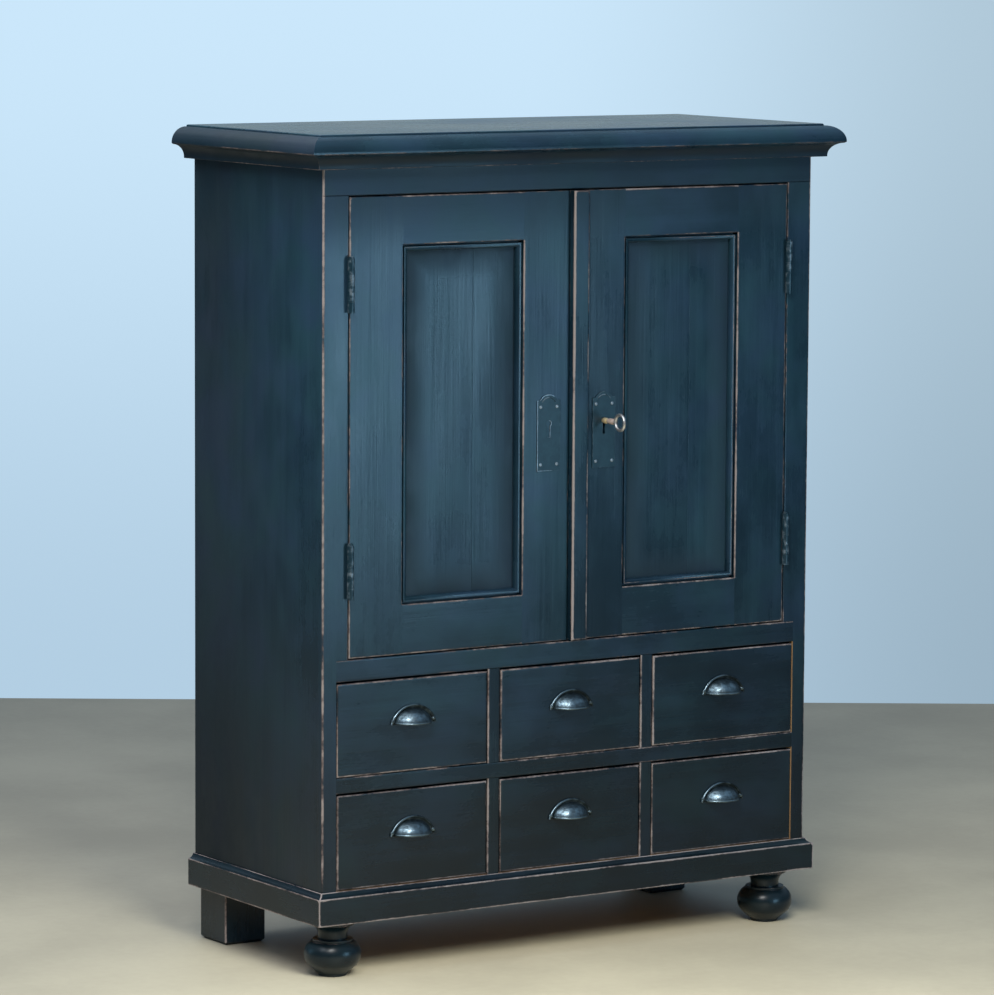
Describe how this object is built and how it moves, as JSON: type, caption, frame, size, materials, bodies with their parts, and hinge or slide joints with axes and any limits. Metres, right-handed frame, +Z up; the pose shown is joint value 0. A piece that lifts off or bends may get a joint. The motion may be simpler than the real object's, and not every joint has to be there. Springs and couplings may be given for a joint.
{
  "type": "drawer cabinet",
  "caption": "Floor-standing painted pine cupboard: framed and panelled doors with a lock over rows of drawers with cup pulls, on turned front feet and block rear feet.",
  "frame": {"origin": "on the floor, under the middle of the cupboard's width and of its whole depth, key included", "axes": "+Z up; +Y from the doors towards the back; +X to the right for someone facing the doors"},
  "size_m": [0.9796, 0.4505, 1.283],
  "materials": {
    "painted_pine": "hand-brushed blue-black satin paint, worn through at the edges",
    "bare_pine": "unpainted, aged pine",
    "painted_iron": "iron painted over with the woodwork",
    "lock_steel": "dull oiled steel",
    "key_brass": "rubbed, partly dulled",
    "pull_pewter": "gunmetal plated casting with polished highlights"
  },
  "bodies": {
    "carcass": {"side_panel_left": "painted_pine", "side_panel_right": "painted_pine", "top_board": "painted_pine", "cornice_front": "painted_pine", "cornice_returns": "painted_pine", "plinth_front": "painted_pine", "plinth_returns": "painted_pine", "bottom_board": "bare_pine", "corner_blocks": "bare_pine", "bun_feet": "painted_pine", "block_feet": "painted_pine", "cupboard_floor": "bare_pine", "cupboard_shelf": "bare_pine", "shelf_cleats": "bare_pine", "back_boards": "bare_pine", "top_rail": "painted_pine", "middle_rail": "painted_pine", "drawer_rail": "painted_pine", "drawer_muntins": "painted_pine", "drawer_runners": "bare_pine", "door_jambs": "painted_pine", "door_stop": "bare_pine", "hinge_frame_leaves": "painted_iron", "hinge_pins": "painted_iron"},
    "left_door": {"left_hinge_stile": "painted_pine", "left_meeting_stile": "painted_pine", "left_door_rails": "painted_pine", "left_panel": "painted_pine", "left_escutcheon": "painted_iron", "left_hinge_leaves": "painted_iron", "left_bolt_plate": "lock_steel"},
    "left_door_bolt": {"left_bolt": "lock_steel"},
    "right_door": {"right_hinge_stile": "painted_pine", "right_meeting_stile": "painted_pine", "right_door_rails": "painted_pine", "right_panel": "painted_pine", "right_escutcheon": "painted_iron", "right_hinge_leaves": "painted_iron", "cover_strip": "painted_pine", "lock_case": "lock_steel"},
    "lock_bolt": {"lock_bolt": "lock_steel"},
    "key": {"key": "key_brass"},
    "upper_left_drawer": {"upper_left_drawer_front": "painted_pine", "upper_left_drawer_box": "bare_pine", "upper_left_drawer_pull": "pull_pewter"},
    "upper_middle_drawer": {"upper_middle_drawer_front": "painted_pine", "upper_middle_drawer_box": "bare_pine", "upper_middle_drawer_pull": "pull_pewter"},
    "upper_right_drawer": {"upper_right_drawer_front": "painted_pine", "upper_right_drawer_box": "bare_pine", "upper_right_drawer_pull": "pull_pewter"},
    "lower_left_drawer": {"lower_left_drawer_front": "painted_pine", "lower_left_drawer_box": "bare_pine", "lower_left_drawer_pull": "pull_pewter"},
    "lower_middle_drawer": {"lower_middle_drawer_front": "painted_pine", "lower_middle_drawer_box": "bare_pine", "lower_middle_drawer_pull": "pull_pewter"},
    "lower_right_drawer": {"lower_right_drawer_front": "painted_pine", "lower_right_drawer_box": "bare_pine", "lower_right_drawer_pull": "pull_pewter"}
  },
  "joints": [
    {"name": "left_door_swing", "type": "hinge", "parent": "carcass", "child": "left_door", "pos_m": [-0.4045, -0.1704, 0.84], "axis": [0, 0, -1], "range_deg": [0, 170]},
    {"name": "right_door_swing", "type": "hinge", "parent": "carcass", "child": "right_door", "pos_m": [0.4045, -0.1704, 0.84], "axis": [0, 0, 1], "range_deg": [0, 170]},
    {"name": "left_bolt_slide", "type": "slide", "parent": "left_door", "child": "left_door_bolt", "axis": [0, 0, 1], "range_m": [0, 0.012]},
    {"name": "key_turn", "type": "hinge", "parent": "right_door", "child": "key", "pos_m": [0.0565, -0.16475, 0.8308], "axis": [0, 1, 0], "range_deg": [0, 180]},
    {"name": "lock_bolt_slide", "type": "slide", "parent": "right_door", "child": "lock_bolt", "axis": [-1, 0, 0], "range_m": [0, 0.01]},
    {"name": "upper_left_drawer_slide", "type": "slide", "parent": "carcass", "child": "upper_left_drawer", "axis": [0, -1, 0], "range_m": [0, 0.25]},
    {"name": "upper_middle_drawer_slide", "type": "slide", "parent": "carcass", "child": "upper_middle_drawer", "axis": [0, -1, 0], "range_m": [0, 0.25]},
    {"name": "upper_right_drawer_slide", "type": "slide", "parent": "carcass", "child": "upper_right_drawer", "axis": [0, -1, 0], "range_m": [0, 0.25]},
    {"name": "lower_left_drawer_slide", "type": "slide", "parent": "carcass", "child": "lower_left_drawer", "axis": [0, -1, 0], "range_m": [0, 0.25]},
    {"name": "lower_middle_drawer_slide", "type": "slide", "parent": "carcass", "child": "lower_middle_drawer", "axis": [0, -1, 0], "range_m": [0, 0.25]},
    {"name": "lower_right_drawer_slide", "type": "slide", "parent": "carcass", "child": "lower_right_drawer", "axis": [0, -1, 0], "range_m": [0, 0.25]}
  ],
  "couplings": [
    {"joint": "key_turn", "follows": "lock_bolt_slide", "rad_per_m": 300}
  ]
}
